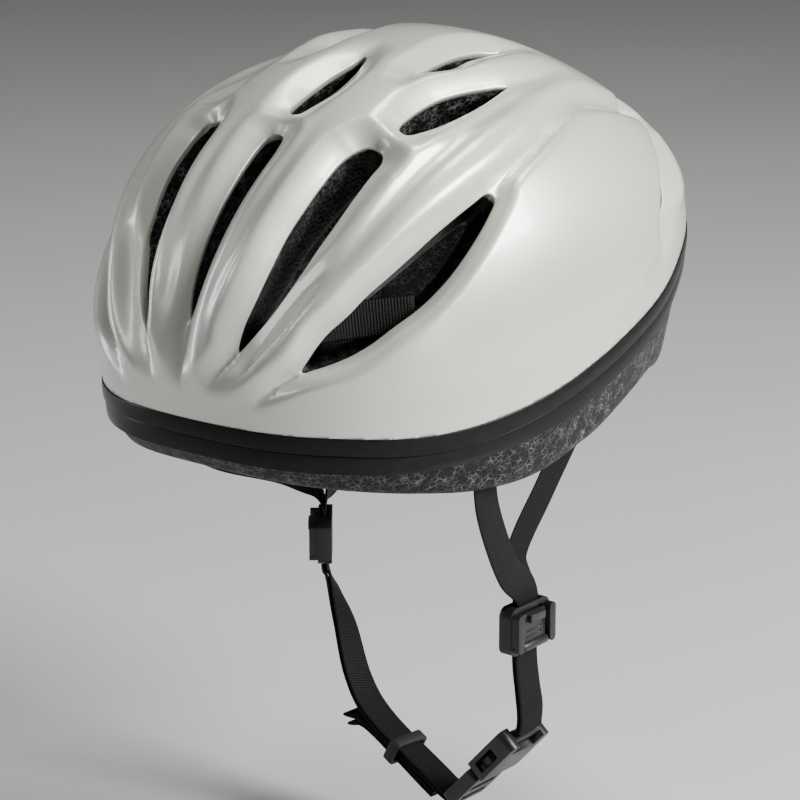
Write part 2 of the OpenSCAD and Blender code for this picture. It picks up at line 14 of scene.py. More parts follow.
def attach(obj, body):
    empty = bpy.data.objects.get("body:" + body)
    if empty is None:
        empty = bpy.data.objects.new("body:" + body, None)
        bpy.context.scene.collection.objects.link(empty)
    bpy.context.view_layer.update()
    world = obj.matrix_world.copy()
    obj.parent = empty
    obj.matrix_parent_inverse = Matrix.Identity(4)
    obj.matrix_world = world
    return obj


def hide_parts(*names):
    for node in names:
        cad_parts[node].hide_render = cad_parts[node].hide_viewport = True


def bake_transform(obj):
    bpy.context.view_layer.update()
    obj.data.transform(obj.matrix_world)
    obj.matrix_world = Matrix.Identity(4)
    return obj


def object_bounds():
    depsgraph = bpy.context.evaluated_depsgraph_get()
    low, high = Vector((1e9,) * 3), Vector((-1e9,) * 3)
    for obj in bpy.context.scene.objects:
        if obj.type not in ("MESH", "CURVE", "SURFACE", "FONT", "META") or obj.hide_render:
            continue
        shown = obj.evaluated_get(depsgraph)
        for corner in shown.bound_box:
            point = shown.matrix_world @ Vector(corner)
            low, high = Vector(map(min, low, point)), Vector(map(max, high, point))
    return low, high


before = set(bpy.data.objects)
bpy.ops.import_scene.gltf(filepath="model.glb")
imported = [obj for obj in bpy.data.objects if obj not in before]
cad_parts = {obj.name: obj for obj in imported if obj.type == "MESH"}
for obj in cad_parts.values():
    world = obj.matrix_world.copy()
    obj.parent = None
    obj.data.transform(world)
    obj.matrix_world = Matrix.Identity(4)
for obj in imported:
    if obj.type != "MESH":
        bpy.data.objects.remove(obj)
CAD_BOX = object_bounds()
MM = 0.001

# ---------------------------------------------------------------- view
VIEW_TURN = 38.0
VIEW_RISE = 17.0
VIEW_DISTANCE = 1.6
VIEW_WIDTH = 0.338
SENSOR = 36.0
VIEW_CENTRE_MM = (0.6, -3.8)
FLOOR_GAP = 0.022
FLOOR_SIZE = 6.0
WORLD_TINT = (0.8, 0.82, 0.86, 1)
WORLD_STRENGTH = 0.04
LIGHT_AIM = (0, 0, 0.04)
# Name, place, size, power and tint of each light
LIGHTS = [
    ("key", (1.0, 0.3, 0.66), (0.5, 0.5), 31, (1.0, 0.985, 0.955)),
    ("top", (0.05, 0.4, 1.45), (0.7, 0.35), 12, (1.0, 0.995, 0.975)),
    ("front_strip", (-0.7, -1.3, 1.0), (0.9, 0.2), 4, (1, 1, 1)),
    ("left_edge", (-1.3, -0.45, 0.2), (0.25, 1.0), 6, (0.93, 0.93, 1.0)),
    ("right_edge", (1.5, -0.25, 0.1), (0.3, 0.9), 3, (1, 1, 1)),
]

# ---------------------------------------------------------------- dome
HALF_WIDTH = 104.0
HALF_LENGTH = 139.0
CROWN_RISE = 93.0
WIDEST_Z = 55.0
LEAN = 0.09
PLAN_POWER = 2.2
SHELL_T = 1.1
LINER_SIDE = 25.0
LINER_END = 27.0
LINER_TOP = 29.0
RIB_RISE = 2.5
FRONT_FILL = 6.5
SIDE_FILL = 4.0
TOP_FILL = 3.0
LOW_FILL = 110.0
LOWEST_FILL = -24.0
RIM_FADE = 15.0
RIM_LEVELS = [(0, -12), (30, -14.2), (57, -17.2), (70, -16.6), (85, -14), (97, -10),
              (110, -6), (125, 0), (150, 0), (180, -1)]
FOOT_HEIGHTS = [(0, -1), (30, -5), (50, -9), (65, -12), (80, -11), (92, -4),
                (105, 5), (117, 9), (132, 4), (150, -4), (180, -8)]
FOOT_OUT = 0.9
FOOT_IN = 0.79
TAPE_STEP = 4.5
TAPE_EDGE = 0.4
CAVITY_LOW = -10.0

# Spacing of the points, then the rounded lip of an opening and the foam wall in it
SHELL_GRID = 1.7
FOAM_GRID = 3.2
SHELL_TUCK = 0.6
LIP_R = 0.9
LIP_DROP = 3.4
LIP_TURNS = (22, 45, 68, 90)
FOAM_STEP_BACK = 0.35
FOAM_TOP_DROP = 1.6
WALL_STEPS = 10
WALL_SWELL = 1.2

# Vents: stations of direction from the front, level, half of the opening's width
# and depth of the trough round it. A half width of 0 is a trough with no opening.
BROW_CENTRE = [(0, -5, 0, 1), (0, 4, 0, 5), (0, 11.5, 1, 6.5), (0, 18, 2.8, 6.5),
               (0, 30, 4.2, 7), (0, 42, 5, 7), (0, 51, 5.4, 6.5), (0, 54.5, 4.8, 6)]
CROWN_CENTRE = [(0, 62.5, 4.8, 4), (0, 69, 6.2, 5.5), (0, 75, 5.4, 5), (0, 79, 3, 4),
                (0, 86, 0, 0)]
REAR_CENTRE = [(180, 54, 4, 4), (180, 42, 7, 5), (180, 28, 4, 4.5), (180, 16, 0, 1)]
BROW_SIDE = [(6, -4, 0, 1), (9, 1, 0, 5), (12, 5.5, 1, 7), (14, 10.5, 3.6, 7),
             (17, 17, 5.4, 7.5), (20, 24.5, 6.8, 8), (23, 32, 7.7, 8), (26, 37.5, 8, 7.5),
             (29, 42.5, 8, 7), (33, 48, 7.8, 7), (36.5, 50.5, 6.8, 7)]
TEMPLE = [(16, -7, 0, 1), (21.5, -2.5, 0, 5), (27, 1.5, 1.5, 7), (33, 6.5, 6.4, 7.5),
          (38.5, 10.5, 8, 8), (43, 14.5, 8.9, 8.5), (48.5, 18.5, 9.4, 8.5),
          (54, 23, 8.9, 8), (58, 26.5, 7.9, 7.5), (63, 30.5, 6, 7), (69, 35, 3.2, 6.5),
          (75, 39, 0, 6), (88, 43.5, 0, 4), (104, 47, 0, 0)]
CROWN_SIDE = [(49.5, 56, 4.5, 5), (56.5, 58, 6.3, 6), (66.5, 60, 7, 6.5), (76.5, 60.5, 5.8, 6),
              (86, 60.5, 3.4, 5.5), (92, 60, 1, 5), (104, 58.5, 0, 3.5), (124, 56, 0, 0)]
TOP_SIDE = [(50, 70, 0, 2), (60, 73, 1.5, 4), (81, 74, 4.1, 5.5), (98, 74.5, 3.8, 5.5),
            (116, 72.5, 3.2, 5), (126, 70, 1.5, 4.5), (140, 64, 0, 0)]
REAR_SIDE = [(150, 47, 0, 0), (144, 39, 2.5, 4.5), (137, 31, 4.6, 6), (128, 23, 5, 6.5),
             (119, 15.5, 4.5, 6), (112, 10, 2.2, 5), (107, 4, 0, 0)]
REAR_BACK = [(164, 57, 3, 3), (163, 49, 5.5, 5), (161, 39, 6.5, 5), (159, 27, 4, 5),
             (157, 14, 0, 1)]
MIDDLE_VENTS = [BROW_CENTRE, CROWN_CENTRE, REAR_CENTRE]
PAIRED_VENTS = [BROW_SIDE, TEMPLE, CROWN_SIDE, TOP_SIDE, REAR_SIDE, REAR_BACK]
TROUGH_SLOPE = 9.5
LOWER_SLOPE = 5.5
TROUGH_CREASE = 1.2
TROUGH_MERGE = 3.0

# Shallow valleys along the ribs, scoops behind the vents and, with a depth below 0,
# the bridges across the troughs:
# stations of direction, level, half width of the valley and its depth
VALLEYS = [
    [(10, -5, 4, 0), (18, 8, 6, 2), (26, 20, 7, 3), (35, 29, 7, 3), (44, 38, 7, 3),
     (56, 46, 7, 2.8), (76, 53, 7, 2.4), (110, 57, 6, 0)],
    [(4, 3, 4, 0), (5.5, 19, 5, 2), (8, 32, 6, 2.4), (11, 44, 6, 1.8), (14, 54, 6, 0.6),
     (17, 60, 5, 0)],
    [(37, 51, 5, 1.5), (38.5, 52, 5, 2)],
    [(40.5, 58, 6, -1), (43.5, 54.5, 6, -2), (46.5, 51, 6, -1)],
    [(0, 58.6, 4.5, -2.2), (10, 58.6, 4.5, -1)],
    [(84, 46, 7, 0), (98, 49, 9, 2.5), (112, 47, 10, 4), (126, 41, 10, 4.5),
     (139, 33, 9, 3.5), (146, 25, 6, 0)],
    [(100, 1, 6, 0), (108, 3, 9, 3), (117, 6, 11, 4), (130, 7, 9, 2.4), (140, 8, 6, 0)],
]

# ---------------------------------------------------------------- straps
UV_UNIT_MM = 100.0
RIBS_PER_UNIT = UV_UNIT_MM / 1.25
YARNS_PER_UNIT = UV_UNIT_MM / 0.95
WEB_W = 15.0
WEB_T = 1.3
LAYER = 0.85
RIGHT_TWIST = math.radians(38)
VENT_WEB_PLACES = [(26, 12, -8.5), (38, 12.5, -7.5), (51, 12, -9)]
VENT_WEB_OUT = [(0.6, -0.8, 0.2), (0.7, -0.7, 0.2), (0.8, -0.6, 0.2)]
OUT_X = (1, 0, 0)
IN_X = (-1, 0, 0)
RIGHT_OUT = (-math.cos(RIGHT_TWIST), -math.sin(RIGHT_TWIST), 0)
LEFT_CHIN = [((70, -4, -75), OUT_X), ((70, -4, -101), OUT_X), ((70, -2, -115), OUT_X),
             ((69.5, 1, -128), (0.9, 0, -0.3)), ((68.1, 2, -136.9), (0.74, 0, -0.67))]
RIGHT_CHIN = [((-62, 26, -67), RIGHT_OUT), ((-62, 26, -97), RIGHT_OUT),
              ((-57, 25, -106), (-0.8, -0.5, -0.2)),
              ((-46, 20, -120), (-0.8, -0.2, -0.5)),
              ((-32, 12, -140), (-0.8, 0, -0.6)), ((-15, 6, -153), (-0.4, 0, -0.9)),
              ((17, 3, -170), (-0.4, 0, -0.9)), ((25, 2.4, -174.3), (-0.3, 0, -0.95)),
              ((31, 2, -176.6), (0.5, 0, -0.85))]
LEFT_FRONT = [((82, -50, 15), OUT_X), ((82, -50, -10), OUT_X), ((81, -45, -28), OUT_X),
              ((76, -26, -56), OUT_X)]
LEFT_REAR = [((80.3, 37.5, 26), OUT_X), ((76, 34, 8), OUT_X), ((72, 28, -8), OUT_X),
             ((70, 10, -32), OUT_X), ((69, -8, -56), OUT_X)]
RIGHT_FRONT = [((-82, -50, 15), IN_X), ((-82, -50, -16), IN_X), ((-79, -26, -36), IN_X),
               ((-69, 12, -52), (-1, -0.2, 0))]
RIGHT_REAR = [((-80.3, 37.5, 26), IN_X), ((-76, 34, 8), IN_X), ((-73, 42, -10), IN_X),
              ((-70, 58, -38), IN_X), ((-66, 46, -55), (-1, -0.4, 0))]
TAIL = [((24, 2.5, -173.8), (-0.3, 0, -0.95)), ((17, 3, -170), (-0.4, 0, -0.9)),
        ((-15, 6, -153), (-0.4, 0, -0.9))]
OUTER_TAIL_END = ((-28, 7, -153), (-0.2, 0, -1))
INNER_TAIL_END = ((-30, 7, -151), (-0.2, 0, -1))
OUTER_TAIL_LIFT = 4.8
INNER_TAIL_LIFT = 3.1

# ---------------------------------------------------------------- pads
PAD_GAP = 2.8
PAD_T = 6.0
PADS = {
    "brow_pad": (-50, 50, -8.5, 4.5),
    "side_pad_left": (69, 95, 15.5, 32.5),
    "side_pad_right": (-95, -69, 15.5, 32.5),
    "rear_pad_left": (129, 159, 3.5, 18.5),
    "rear_pad_right": (-159, -129, 3.5, 18.5),
}
CROWN_PADS = {"crown_pad_left": 1, "crown_pad_right": -1}
PAD_VOXEL = 2.2 * MM
PAD_FRAMES = 20
PAD_PRESSURE = 4.0
PAD_CAP = 1.6 * MM


# ================================================================ small helpers
def smooth_table(table):
    """A finely sampled smooth curve through a table of (place, value) rows."""
    x = np.array([row[0] for row in table], float)
    y = np.array([row[1] for row in table], float)
    fine = np.linspace(x[0], x[-1], 361)
    left = np.clip(np.searchsorted(x, fine, "right") - 1, 0, len(x) - 2)
    slope = np.gradient(y, x)
    slope[0] = slope[-1] = 0
    h = x[left + 1] - x[left]
    t = (fine - x[left]) / h
    value = ((2 * t**3 - 3 * t**2 + 1) * y[left] + (t**3 - 2 * t**2 + t) * h * slope[left]
             + (3 * t**2 - 2 * t**3) * y[left + 1] + (t**3 - t**2) * h * slope[left + 1])
    return fine, value


RIM_CURVE = smooth_table(RIM_LEVELS)
FOOT_CURVE = smooth_table(FOOT_HEIGHTS)


def folded(az):
    return np.abs((np.asarray(az, float) + 180) % 360 - 180)


def rim_level(az):
    return np.interp(folded(az), *RIM_CURVE)


def foot_z(az):
    return np.interp(folded(az), *FOOT_CURVE)


def spline(points, steps):
    """Catmull-Rom points through the rows given, with steps between each pair."""
    p = np.array(points, float)
    p = np.vstack([2 * p[0] - p[1], p, 2 * p[-1] - p[-2]])
    t = np.arange(steps)[:, None] / steps
    rows = [
        0.5 * (2 * p[i] + (p[i + 1] - p[i - 1]) * t
               + (2 * p[i - 1] - 5 * p[i] + 4 * p[i + 1] - p[i + 2]) * t**2
               + (3 * p[i] - p[i - 1] - 3 * p[i + 1] + p[i + 2]) * t**3)
        for i in range(1, len(p) - 2)
    ]
    return np.vstack(rows + [p[-2:-1]])


def unit(v):
    v = np.asarray(v, float)
    return v / np.linalg.norm(v, axis=-1, keepdims=True)


def around(az):
    a = np.radians(az)
    e = 2 / PLAN_POWER
    across = np.sign(np.sin(a)) * np.abs(np.sin(a)) ** e
    along = -np.sign(np.cos(a)) * np.abs(np.cos(a)) ** e
    return across, along


def dome(az, up, dx=0.0, dy=None, dz=None):
    """A point of the plain dome, moved out by dx, dy and dz."""
    dy = dx if dy is None else dy
    dz = dx if dz is None else dz
    across, along = around(az)
    level = np.radians(up)
    x = (HALF_WIDTH + dx) * across * np.cos(level)
    y = (HALF_LENGTH + dy) * along * np.cos(level)
    z = WIDEST_Z + LEAN * y + (CROWN_RISE + dz) * np.sin(level)
    return np.stack(np.broadcast_arrays(x, y, z), -1)


def direction(points):
    """Direction from the front and level of points near the dome."""
    x = points[..., 0] / HALF_WIDTH
    y = points[..., 1] / HALF_LENGTH
    z = (points[..., 2] - WIDEST_Z - LEAN * points[..., 1]) / CROWN_RISE
    flat = (np.abs(x) ** PLAN_POWER + np.abs(y) ** PLAN_POWER) ** (1 / PLAN_POWER)
    across = np.sign(x) * np.abs(x / flat) ** (PLAN_POWER / 2)
    along = -np.sign(y) * np.abs(y / flat) ** (PLAN_POWER / 2)
    return np.degrees(np.arctan2(across, along)), np.degrees(np.arctan2(z, flat))


def to_plane(az, up):
    """A flat map seen from above: the crown is the middle, the rim the edge."""
    a = np.radians(az)
    return np.stack([(90 - up) * np.sin(a), -(90 - up) * np.cos(a)], -1)


def from_plane(p):
    return (np.degrees(np.arctan2(p[..., 0], -p[..., 1])),
            90 - np.hypot(p[..., 0], p[..., 1]))


# ================================================================ relief
def line_of(stations, steps=14):
    """Centreline points on the dome, with the values that go with each."""
    rows = spline(stations, steps)
    return dome(rows[:, 0], rows[:, 1]), np.maximum(rows[:, 2:], 0)


DOME_CENTRE = np.array([0, 0, WIDEST_Z])
TROUGH_LINES = [(*line_of(s), s is TEMPLE) for s in MIDDLE_VENTS + PAIRED_VENTS]
VALLEY_LINES = [line_of(s) for s in VALLEYS]


def nearest_on_line(points, line, values):
    """Distance to a line of points, the line's values where it is nearest, and how
    far the point lies to the line's lower side, from -1 to 1."""
    best = np.full(len(points), 1e9)
    found = np.zeros((len(points), values.shape[1]))
    below = np.zeros(len(points))
    for i in range(len(line) - 1):
        step = line[i + 1] - line[i]
        t = np.clip((points - line[i]) @ step / (step @ step), 0, 1)
        offset = points - line[i] - t[:, None] * step
        gap = np.linalg.norm(offset, axis=1)
        nearer = gap < best
        best[nearer] = gap[nearer]
        mixed = values[i] + t[:, None] * (values[i + 1] - values[i])
        found[nearer] = mixed[nearer]
        lower = np.cross(step, line[i] - DOME_CENTRE)
        side = offset @ lower / (np.linalg.norm(lower) * np.maximum(gap, 0.01))
        below[nearer] = side[nearer]
    return best, found, below


def form(az, up):
    """Fuller shoulders at the front and sides, a lower slope at the rear, and upright
    walls below the widest level."""
    a, level = np.radians(az), np.radians(up)
    shoulder = np.maximum(np.sin(2 * level), 0) ** 2
    return (shoulder * (FRONT_FILL * np.cos(a) - SIDE_FILL * np.cos(2 * a))
            + TOP_FILL * np.maximum(np.sin(level), 0) ** 4
            + LOW_FILL * (1 - np.cos(np.clip(level, math.radians(LOWEST_FILL), 0))))


def relief(az, up):
    """Height of the ribs over the dome, less the troughs, valleys and scoops."""
    az, up = np.broadcast_arrays(np.asarray(az, float), np.asarray(up, float))
    shape = np.shape(az)
    az = np.ravel(az).astype(float)
    up = np.ravel(up).astype(float)
    points = dome(az, up)
    points[:, 0] = np.abs(points[:, 0])
    total = np.zeros(len(points))
    for line, values, one_sided in TROUGH_LINES:
        gap, found, below = nearest_on_line(points, line, values)
        share = np.clip(0.5 + below, 0, 1) if one_sided else 0
        slope = TROUGH_SLOPE + (LOWER_SLOPE - TROUGH_SLOPE) * share
        away = np.clip((gap - found[:, 0]) / slope, 0, 1)
        total += (found[:, 1] * (1 - away) ** (TROUGH_CREASE + 0.6 * share)) ** TROUGH_MERGE
    depth = total ** (1 / TROUGH_MERGE)
    for line, values in VALLEY_LINES:
        gap, found, below = nearest_on_line(points, line, values)
        away = np.clip(gap / np.maximum(found[:, 0], 0.1), 0, 1)
        depth = depth + found[:, 1] * (0.5 + 0.5 * np.cos(np.pi * away))
    t = np.clip((up - rim_level(az)) / RIM_FADE, 0, 1)
    return (t * t * (3 - 2 * t) * (RIB_RISE - depth) + form(az, up)).reshape(shape)


def skin(az, up, off=0.0):
    return dome(az, up, relief(az, up) + off)


def cavity(az, up, off=0.0):
    return dome(az, up, -LINER_SIDE - off, -LINER_END - off, -LINER_TOP - off)


def skin_normal(az, up, step=0.6):
    """Outward direction of the skin."""
    spread = step / np.maximum(np.cos(np.radians(up)), 0.05)
    sideways = skin(az + spread, up) - skin(az - spread, up)
    upwards = skin(az, up + step) - skin(az, up - step)
    return unit(np.cross(sideways, upwards))


# ================================================================ vent outlines
def resample(loop, spacing):
    closed = np.vstack([loop, loop[:1]])
    run = np.concatenate([[0], np.cumsum(np.linalg.norm(np.diff(closed, axis=0), axis=1))])
    count = max(12, int(run[-1] / spacing))
    at = np.arange(count) * run[-1] / count
    return np.stack([np.interp(at, run, closed[:, k]) for k in range(closed.shape[1])], -1)


def vent_outline(stations, mirrored):
    """Closed outline of an opening on the plain dome."""
    opening = [s for s in stations if s[2] > 0]
    rows = spline([s[:3] for s in opening], 8)
    centre = dome(rows[:, 0], rows[:, 1])
    width = rows[:, 2]
    along = unit(np.gradient(centre, axis=0))
    out = unit(centre - dome(rows[:, 0], rows[:, 1], -20))
    side = unit(np.cross(out, along))
    left = centre + side * width[:, None]
    right = centre - side * width[:, None]
    turn = np.radians(np.linspace(15, 165, 9))[:, None]

    def end(i, sign):
        reach = width[i] * (1.0 if width[i] > 3 else 2.2)
        return (centre[i] + sign * along[i] * reach * np.sin(turn)
                + side[i] * width[i] * np.cos(turn))

    loop = np.vstack([left, end(-1, 1), right[::-1], end(0, -1)[::-1]])
    loop = resample(loop, 1.3)
    for _ in range(3):
        loop = (np.roll(loop, 1, 0) + 2 * loop + np.roll(loop, -1, 0)) / 4
    if mirrored:
        loop = loop * [-1, 1, 1]
    plane = to_plane(*direction(loop))
    area = np.sum(plane[:, 0] * np.roll(plane[:, 1], -1) - plane[:, 1] * np.roll(plane[:, 0], -1))
    return plane if area > 0 else plane[::-1]


OUTLINES = ([vent_outline(s, False) for s in MIDDLE_VENTS]
            + [vent_outline(s, m) for s in PAIRED_VENTS for m in (False, True)])


def inset(outline, distance):
    """The outline moved into the opening, on the map in degrees."""
    t = np.roll(outline, -1, 0) - np.roll(outline, 1, 0)
    inward = unit(np.stack([-t[:, 1], t[:, 0]], -1))
    return outline + inward * distance


def inside(points, loop):
    """Which points of the map lie inside a loop."""
    x, y = points[:, 0], points[:, 1]
    found = np.zeros(len(points), bool)
    for a, b in zip(loop, np.roll(loop, -1, 0)):
        crosses = (a[1] > y) != (b[1] > y)
        if crosses.any():
            found ^= crosses & (x < a[0] + (y - a[1]) * (b[0] - a[0]) / (b[1] - a[1] + 1e-12))
    return found


# ================================================================ meshes
def mesh_object(name, points, faces, materials, smooth=True, indices=None):
    """A new mesh object from points in millimetres."""
    mesh = bpy.data.meshes.new(name)
    mesh.from_pydata((np.asarray(points) * MM).tolist(), [], [list(map(int, f)) for f in faces])
    mesh.validate()
    piece = bpy.data.objects.new(name, mesh)
    bpy.context.scene.collection.objects.link(piece)
    for material in materials:
        mesh.materials.append(material)
    mesh.shade_smooth() if smooth else mesh.shade_flat()
    if indices is not None:
        mesh.polygons.foreach_set("material_index", indices)
    return piece


def mapped_surface(spacing, loops, edge_level, creases=()):
    """Triangles of the map between the edge and the loops. Returns the places on
    the map, the triangles and the first point of each loop."""
    count = int(600 / spacing)
    edge_az = np.arange(count) * 360 / count - 180
    edge = to_plane(edge_az, edge_level(edge_az))
    chains = [edge] + list(loops)
    crease_chains = list(creases)
    fixed = np.vstack(chains + crease_chains)
    tree = KDTree(len(fixed))
    for i, (az, up) in enumerate(zip(*from_plane(fixed))):
        tree.insert(Vector(dome(az, up)), i)
    tree.balance()
    grid = []
    for ring, level in enumerate(np.arange(89.2, -22, -spacing / 2.0)):
        around_mm = 2 * math.pi * 120 * math.cos(math.radians(level))
        number = max(6, int(around_mm / spacing))
        az = (np.arange(number) + 0.5 * (ring % 2)) * 360 / number - 180
        grid.append(np.stack([az, np.full(number, level)], -1))
    grid = np.vstack(grid)
    keep = grid[:, 1] > edge_level(grid[:, 0]) + 0.2
    grid = grid[keep]
    places = dome(grid[:, 0], grid[:, 1])
    near = np.array([tree.find(Vector(p))[2] for p in places])
    grid = grid[near > 0.62 * spacing]
    flat = to_plane(grid[:, 0], grid[:, 1])
    for loop in loops:
        flat = flat[~inside(flat, loop)]
    points = np.vstack([fixed, flat])
    edges, first, starts = [], 0, []
    for chain in chains:
        n = len(chain)
        starts.append(first)
        edges += [(first + i, first + (i + 1) % n) for i in range(n)]
        first += n
    for chain in crease_chains:
        edges += [(first + i, first + i + 1) for i in range(len(chain) - 1)]
        first += len(chain)
    result = delaunay_2d_cdt([Vector(p) for p in points.tolist()], edges, [], 0, 1e-6)
    flat = np.array([tuple(v) for v in result[0]])
    triangles = np.array(result[2])
    origin = {}
    for new, sources in enumerate(result[3]):
        for source in sources:
            origin[source] = new
    middle = flat[triangles].mean(1)
    az, up = from_plane(middle)
    good = up > edge_level(az) - 0.02
    for loop in loops:
        good &= ~inside(middle, loop)
    order = [[origin[s + i] for i in range(len(c))] for s, c in zip(starts, chains)]
    return flat, triangles[good], order


def ring_faces(a, b, closed=True):
    """Quads between two rows of point numbers."""
    n = len(a)
    last = n if closed else n - 1
    return [(a[i], a[(i + 1) % n], b[(i + 1) % n], b[i]) for i in range(last)]


def chaikin(profile, rounds):
    """Rounds the corners of an open profile given as an array of rows."""
    for _ in range(rounds):
        a, b = profile[:-1], profile[1:]
        cut = np.stack([0.75 * a + 0.25 * b, 0.25 * a + 0.75 * b], 1)
        cut = cut.reshape(-1, *cut.shape[2:])
        profile = np.concatenate([profile[:1], cut[1:-1], profile[-1:]])
    return profile


class Surface:
    """Points in millimetres, and faces that grow from them in closed rows."""

    def __init__(self, points, faces):
        self.points = [points]
        self.faces = list(faces)
        self.count = len(points)

    def add_row(self, points, previous=None):
        """Adds a row joined to the one before it, and returns its point numbers."""
        row = list(range(self.count, self.count + len(points)))
        self.points.append(points)
        self.count += len(points)
        if previous is not None:
            self.faces += ring_faces(previous, row)
        return row

    def make(self, name, material):
        piece = mesh_object(name, np.vstack(self.points), self.faces, [material])
        tidy_normals(piece)
        return piece


# ================================================================ materials
def new_material(name):
    material = bpy.data.materials.new(name)
    material.use_nodes = True
    tree = material.node_tree
    shader = tree.nodes["Principled BSDF"]
    place = tree.nodes.new("ShaderNodeTexCoord")
    return material, tree, shader, place


def node(tree, kind, **inputs):
    made = tree.nodes.new(kind)
    for key, value in inputs.items():
        made.inputs[key.replace("_", " ")].default_value = value
    return made


def ramp(tree, source, stops):
    made = tree.nodes.new("ShaderNodeValToRGB")
    made.color_ramp.elements[0].position = stops[0][0]
    made.color_ramp.elements[0].color = stops[0][1]
    made.color_ramp.elements[1].position = stops[-1][0]
    made.color_ramp.elements[1].color = stops[-1][1]
    for position, colour in stops[1:-1]:
        made.color_ramp.elements.new(position).color = colour
    tree.links.new(source, made.inputs["Fac"])
    return made.outputs["Color"]


def grey(value, tint=(1.0, 1.0, 1.0)):
    return (value * tint[0], value * tint[1], value * tint[2], 1.0)


def spread(tree, source, low, high):
    """The source's range from 0 to 1 turned into low to high."""
    made = tree.nodes.new("ShaderNodeMapRange")
    made.inputs["To Min"].default_value = low
    made.inputs["To Max"].default_value = high
    tree.links.new(source, made.inputs["Value"])
    return made.outputs["Result"]


def bump(tree, shader, height, strength, distance):
    made = tree.nodes.new("ShaderNodeBump")
    made.inputs["Strength"].default_value = strength
    made.inputs["Distance"].default_value = distance
    tree.links.new(height, made.inputs["Height"])
    tree.links.new(made.outputs["Normal"], shader.inputs["Normal"])


def noise(tree, place, scale, detail=3.0):
    made = node(tree, "ShaderNodeTexNoise", Scale=scale, Detail=detail)
    tree.links.new(place.outputs["Object"], made.inputs["Vector"])
    return made.outputs["Fac"]


def shell_material():
    """Pearl white gloss shell: fine pearl grain under a clear coat."""
    material, tree, shader, place = new_material("shell_pearl_white")
    pearl = noise(tree, place, 2600.0, 2.0)
    tone = ramp(tree, pearl, [(0.3, grey(0.68, (1.0, 1.0, 0.91))),
                              (0.7, grey(0.79, (1.0, 1.0, 0.92)))])
    tree.links.new(tone, shader.inputs["Base Color"])
    haze = noise(tree, place, 35.0, 4.0)
    tree.links.new(spread(tree, haze, 0.34, 0.44), shader.inputs["Roughness"])
    shader.inputs["Metallic"].default_value = 0.35
    shader.inputs["Coat Weight"].default_value = 0.8
    shader.inputs["Coat Roughness"].default_value = 0.1
    bump(tree, shader, pearl, 0.05, 0.0001)
    return material


def foam_material():
    """Black moulded bead foam: fused beads with paler seams between them."""
    material, tree, shader, place = new_material("foam_beads")
    warp = node(tree, "ShaderNodeTexNoise", Scale=260.0, Detail=2.0)
    tree.links.new(place.outputs["Object"], warp.inputs["Vector"])
    push = tree.nodes.new("ShaderNodeVectorMath")
    push.operation = "MULTIPLY_ADD"
    tree.links.new(warp.outputs["Color"], push.inputs[0])
    push.inputs[1].default_value = (0.0022, 0.0022, 0.0022)
    tree.links.new(place.outputs["Object"], push.inputs[2])
    beads = node(tree, "ShaderNodeTexVoronoi", Scale=430.0)
    beads.feature = "DISTANCE_TO_EDGE"
    tree.links.new(push.outputs["Vector"], beads.inputs["Vector"])
    cells = node(tree, "ShaderNodeTexVoronoi", Scale=430.0)
    tree.links.new(push.outputs["Vector"], cells.inputs["Vector"])
    seams = ramp(tree, beads.outputs["Distance"], [(0.0, grey(0.17)), (0.05, grey(0.06)),
                                                   (0.16, grey(0.006)), (1.0, grey(0.003))])
    mix = tree.nodes.new("ShaderNodeMix")
    mix.data_type = "RGBA"
    mix.blend_type = "MULTIPLY"
    mix.inputs["Factor"].default_value = 0.95
    tree.links.new(seams, mix.inputs[6])
    patch = noise(tree, place, 210.0, 3.0)
    tone = ramp(tree, patch, [(0.42, grey(0.06)), (0.64, grey(1.0))])
    tree.links.new(tone, mix.inputs[7])
    tree.links.new(mix.outputs[2], shader.inputs["Base Color"])
    tree.links.new(spread(tree, cells.outputs["Distance"], 0.42, 0.62), shader.inputs["Roughness"])
    shader.inputs["Specular IOR Level"].default_value = 0.25
    bump(tree, shader, beads.outputs["Distance"], 0.5, 0.0009)
    return material


def tape_material():
    """Satin charcoal rim tape with faint drag lines and scuffs."""
    material, tree, shader, place = new_material("rim_tape_satin")
    stretch = tree.nodes.new("ShaderNodeMapping")
    stretch.inputs["Scale"].default_value = (1.0, 1.0, 3.0)
    tree.links.new(place.outputs["Object"], stretch.inputs["Vector"])
    lines = node(tree, "ShaderNodeTexNoise", Scale=160.0, Detail=4.0)
    tree.links.new(stretch.outputs["Vector"], lines.inputs["Vector"])
    tone = ramp(tree, lines.outputs["Fac"], [(0.25, grey(0.006, (1, 1, 1.1))),
                                             (0.75, grey(0.011, (1, 1, 1.15)))])
    tree.links.new(tone, shader.inputs["Base Color"])
    tree.links.new(spread(tree, lines.outputs["Fac"], 0.26, 0.36), shader.inputs["Roughness"])
    shader.inputs["Specular IOR Level"].default_value = 0.16
    bump(tree, shader, lines.outputs["Fac"], 0.04, 0.0002)
    return material


def moulded_material(name, tone, rough, grain):
    """Moulded plastic: fine spark texture, slight mottling and a roughness that varies with the
    spark.
    """
    material, tree, shader, place = new_material(name)
    mottle = noise(tree, place, 70.0, 3.0)
    colour = ramp(tree, mottle, [(0.3, grey(tone * 0.8)), (0.7, grey(tone * 1.25))])
    tree.links.new(colour, shader.inputs["Base Color"])
    spark = noise(tree, place, grain, 2.0)
    tree.links.new(spread(tree, spark, rough - 0.1, rough + 0.12), shader.inputs["Roughness"])
    bump(tree, shader, spark, 0.25, 0.0002)
    return material


